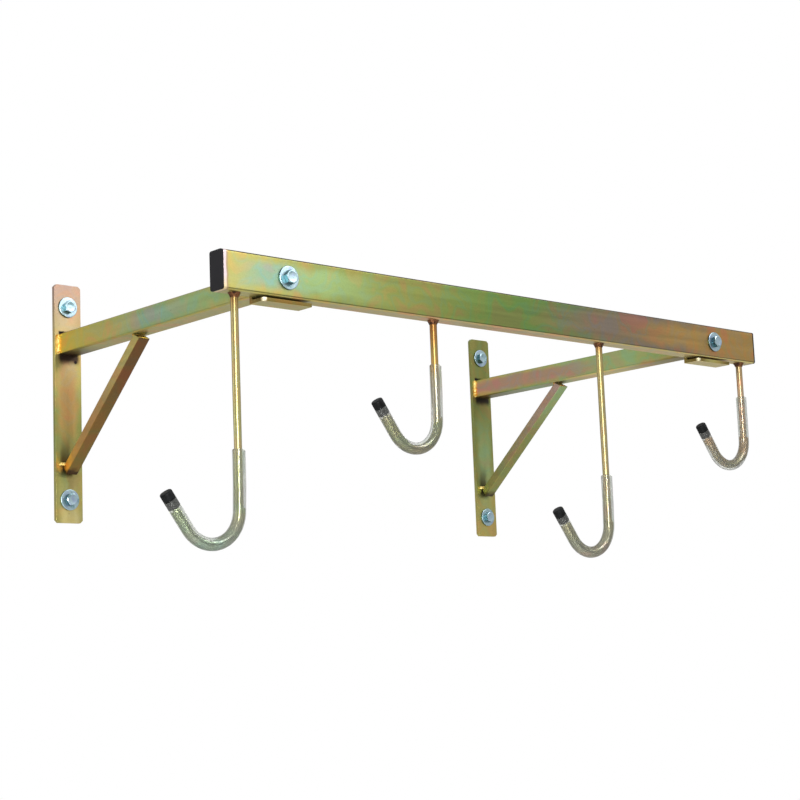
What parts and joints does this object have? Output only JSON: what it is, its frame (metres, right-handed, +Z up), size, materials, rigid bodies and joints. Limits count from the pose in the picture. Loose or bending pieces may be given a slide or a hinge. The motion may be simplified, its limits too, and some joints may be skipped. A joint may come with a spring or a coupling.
{
  "type": "wall hook rack",
  "caption": "Wall rack of a hook rail carried on welded stand-off brackets with diagonal braces, with long and short J hooks in clear sleeves.",
  "frame": {"origin": "centre of the pattern of four wall screws, on the wall plane at the back of the wall plates", "axes": "+X along the rail to the viewer's right, +Y into the wall, +Z up"},
  "size_m": [0.9032, 0.4383, 0.343],
  "materials": {
    "yellow_zinc": "satin yellow-passivated zinc plating",
    "white_zinc": "satin blue-white zinc plating",
    "weld": "plated weld metal",
    "black_plastic": "satin moulded",
    "black_rubber": "satin",
    "clear_hose": "clear soft PVC"
  },
  "bodies": {
    "root": {"wall_plate_left": "yellow_zinc", "wall_plate_right": "yellow_zinc", "arm_left": "yellow_zinc", "arm_right": "yellow_zinc", "brace_left": "yellow_zinc", "brace_right": "yellow_zinc", "bracket_welds_left": "weld", "bracket_welds_right": "weld", "saddle_left": "yellow_zinc", "saddle_right": "yellow_zinc", "saddle_nut_left": "yellow_zinc", "saddle_nut_right": "yellow_zinc", "rail": "yellow_zinc", "rail_cap_left": "black_plastic", "rail_cap_right": "black_plastic", "rail_bolt_left": "white_zinc", "rail_bolt_right": "white_zinc", "rail_washer_left": "white_zinc", "rail_washer_right": "white_zinc", "wall_screw_left_upper": "white_zinc", "wall_screw_left_lower": "white_zinc", "wall_screw_right_upper": "white_zinc", "wall_screw_right_lower": "white_zinc", "wall_washer_left_upper": "white_zinc", "wall_washer_left_lower": "white_zinc", "wall_washer_right_upper": "white_zinc", "wall_washer_right_lower": "white_zinc", "hook_rod_1": "yellow_zinc", "hook_rod_2": "yellow_zinc", "hook_rod_3": "yellow_zinc", "hook_rod_4": "yellow_zinc", "hook_weld_1": "weld", "hook_weld_2": "weld", "hook_weld_3": "weld", "hook_weld_4": "weld", "hook_sleeve_1": "clear_hose", "hook_sleeve_2": "clear_hose", "hook_sleeve_3": "clear_hose", "hook_sleeve_4": "clear_hose", "hook_plug_1": "black_rubber", "hook_plug_2": "black_rubber", "hook_plug_3": "black_rubber", "hook_plug_4": "black_rubber"}
  },
  "joints": []
}
